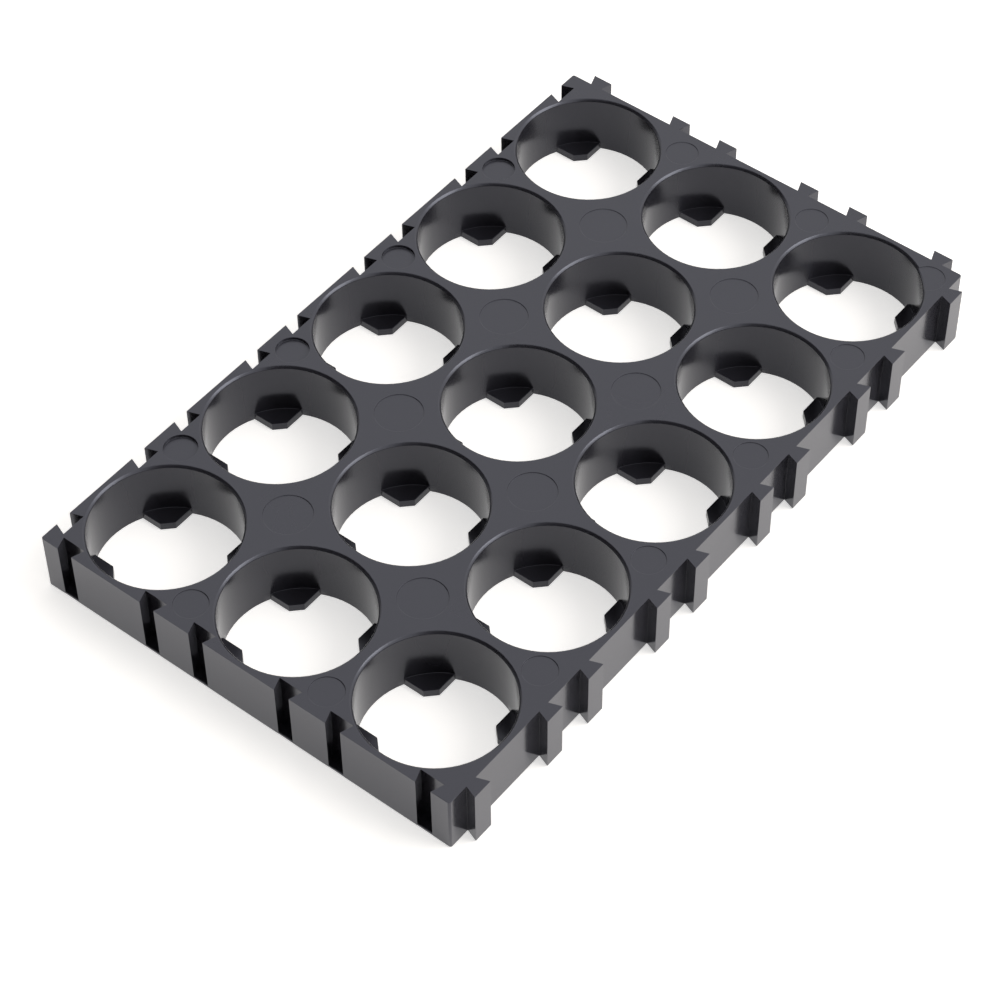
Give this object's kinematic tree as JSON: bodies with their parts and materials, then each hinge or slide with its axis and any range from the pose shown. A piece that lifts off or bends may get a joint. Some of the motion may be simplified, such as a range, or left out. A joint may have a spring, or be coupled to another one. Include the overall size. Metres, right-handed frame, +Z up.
{
  "type": "battery cell holder bracket",
  "caption": "Moulded rectangular spacer plate with a grid of round cylindrical-cell seats, corner stop lugs below each, and dovetail tabs and slots on its walls to join neighbours.",
  "frame": {"origin": "centre of the overall footprint, tabs included, on the underside; the middle cell's axis is half a tab (0.8 mm) off it in -X and -Y", "axes": "+Z up, along the cells, out of the seats' mouths; +Y along the long side, towards the short tabbed wall; +X towards the long tabbed wall"},
  "size_m": [0.0624, 0.1028, 0.0084],
  "materials": {
    "moulded_abs": "satin"
  },
  "bodies": {
    "root": {"cell_holder": "moulded_abs"}
  },
  "joints": []
}
